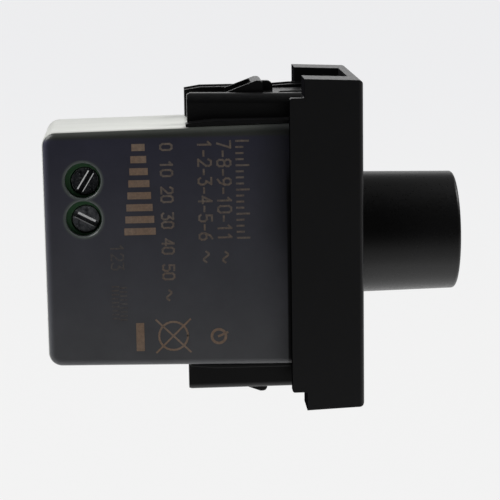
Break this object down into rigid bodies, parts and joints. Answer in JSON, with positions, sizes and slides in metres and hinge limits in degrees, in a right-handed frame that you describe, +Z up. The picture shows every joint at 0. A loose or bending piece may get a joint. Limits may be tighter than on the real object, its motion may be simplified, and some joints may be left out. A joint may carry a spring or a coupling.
{
  "type": "dimmer switch module",
  "caption": "Snap-in rotary dimmer module: narrow black front frame with a round push-and-turn knob, boxed body behind it, snap arms above and below, side-access screw terminals.",
  "frame": {"origin": "on the knob's axis, in the plane of the ears' rear faces that seat on the supporting frame", "axes": "+X out of the wall along the knob's axis, +Z up along the 45 mm height, +Y across the 22.5 mm width"},
  "size_m": [0.0563, 0.0226, 0.045],
  "materials": {
    "frame_plastic": "fine satin moulded black",
    "carrier_plastic": "moulded black",
    "knob_plastic": "satin moulded black",
    "shell_plastic": "light grey moulded",
    "cover_plastic": "blue-black satin, with light brown laser marks",
    "terminal_plastic": "moulded green",
    "screw_steel": "dark plated",
    "cage_steel": "zinc plated",
    "contact_brass": "plain",
    "board_laminate": "green lacquered laminate",
    "header_plastic": "moulded black",
    "control_metal": "nickel plated",
    "shaft_metal": "turned",
    "can_metal": "pressed",
    "track_laminate": "brown phenolic",
    "rotor_plastic": "moulded white",
    "switch_plastic": "moulded black",
    "spring_steel": "drawn wire",
    "sink_aluminium": "plain sheet",
    "triac_epoxy": "moulded epoxy",
    "ferrite": "matte ferrite",
    "copper": "enamelled wire",
    "film_plastic": "moulded yellow",
    "timing_plastic": "dipped red-brown",
    "fuse_plastic": "moulded brown",
    "resistor_lacquer": "lacquered beige",
    "diac_lacquer": "lacquered blue"
  },
  "bodies": {
    "root": {"front_frame": "frame_plastic", "rear_carrier": "carrier_plastic", "body_shell": "shell_plastic", "body_cover": "cover_plastic", "terminal_block": "terminal_plastic", "contact_bar_1": "contact_brass", "contact_bar_2": "contact_brass", "main_board": "board_laminate", "control_board": "board_laminate", "board_header": "header_plastic", "threaded_bush": "control_metal", "bush_washer": "control_metal", "bush_nut": "control_metal", "pot_can": "can_metal", "pot_track": "track_laminate", "pot_terminals": "contact_brass", "switch_housing": "switch_plastic", "switch_contacts": "contact_brass", "return_spring": "spring_steel", "heat_sink": "sink_aluminium", "triac": "triac_epoxy", "heat_sink_screw": "cage_steel", "choke_core": "ferrite", "choke_winding": "copper", "film_capacitor": "film_plastic", "timing_capacitor": "timing_plastic", "fuse": "fuse_plastic", "resistors": "resistor_lacquer", "diac": "diac_lacquer"},
    "rotor": {"pot_rotor": "rotor_plastic", "wiper": "contact_brass"},
    "knob_and_shaft": {"control_shaft": "shaft_metal", "knob": "knob_plastic"},
    "plunger": {"switch_plunger": "rotor_plastic", "contact_bridge": "contact_brass"},
    "terminal_screw_1": {"terminal_screw_1": "screw_steel"},
    "terminal_screw_2": {"terminal_screw_2": "screw_steel"},
    "clamp_1": {"clamp_cage_1": "cage_steel"},
    "clamp_2": {"clamp_cage_2": "cage_steel"},
    "tongue_top": {"snap_tongue_top": "carrier_plastic"},
    "tongue_bottom": {"snap_tongue_bottom": "carrier_plastic"}
  },
  "joints": [
    {"name": "knob_turn", "type": "hinge", "parent": "root", "child": "rotor", "pos_m": [0, 0, 0], "axis": [-1, 0, 0], "range_deg": [0, 270]},
    {"name": "knob_push", "type": "slide", "parent": "rotor", "child": "knob_and_shaft", "axis": [-1, 0, 0], "range_m": [0, 0.0015], "stiffness_N_per_m": 1500, "springref_m": -0.001, "deforming": ["return_spring"]},
    {"name": "plunger_slide", "type": "slide", "parent": "root", "child": "plunger", "axis": [-1, 0, 0], "range_m": [0, 0.0015]},
    {"name": "terminal_screw_1_turn", "type": "hinge", "parent": "root", "child": "terminal_screw_1", "pos_m": [-0.02927, 0, 0.00907], "axis": [0, 1, 0], "range_deg": [0, 900]},
    {"name": "terminal_screw_2_turn", "type": "hinge", "parent": "root", "child": "terminal_screw_2", "pos_m": [-0.02927, 0, 0.00394], "axis": [0, 1, 0], "range_deg": [0, 900]},
    {"name": "clamp_1_slide", "type": "slide", "parent": "root", "child": "clamp_1", "axis": [0, -1, 0], "range_m": [0, 0.00125]},
    {"name": "clamp_2_slide", "type": "slide", "parent": "root", "child": "clamp_2", "axis": [0, -1, 0], "range_m": [0, 0.00125]},
    {"name": "tongue_top_flex", "type": "hinge", "parent": "root", "child": "tongue_top", "pos_m": [0.0046, 0, 0.0195], "axis": [0, -1, 0], "range_deg": [0, 7.2], "stiffness_Nm_per_rad": 0.35},
    {"name": "tongue_bottom_flex", "type": "hinge", "parent": "root", "child": "tongue_bottom", "pos_m": [0.0046, 0, -0.0195], "axis": [0, 1, 0], "range_deg": [0, 7.2], "stiffness_Nm_per_rad": 0.35}
  ],
  "couplings": [
    {"joint": "plunger_slide", "follows": "knob_push", "ratio": 1},
    {"joint": "terminal_screw_1_turn", "follows": "clamp_1_slide", "rad_per_m": 12566},
    {"joint": "terminal_screw_2_turn", "follows": "clamp_2_slide", "rad_per_m": 12566}
  ]
}
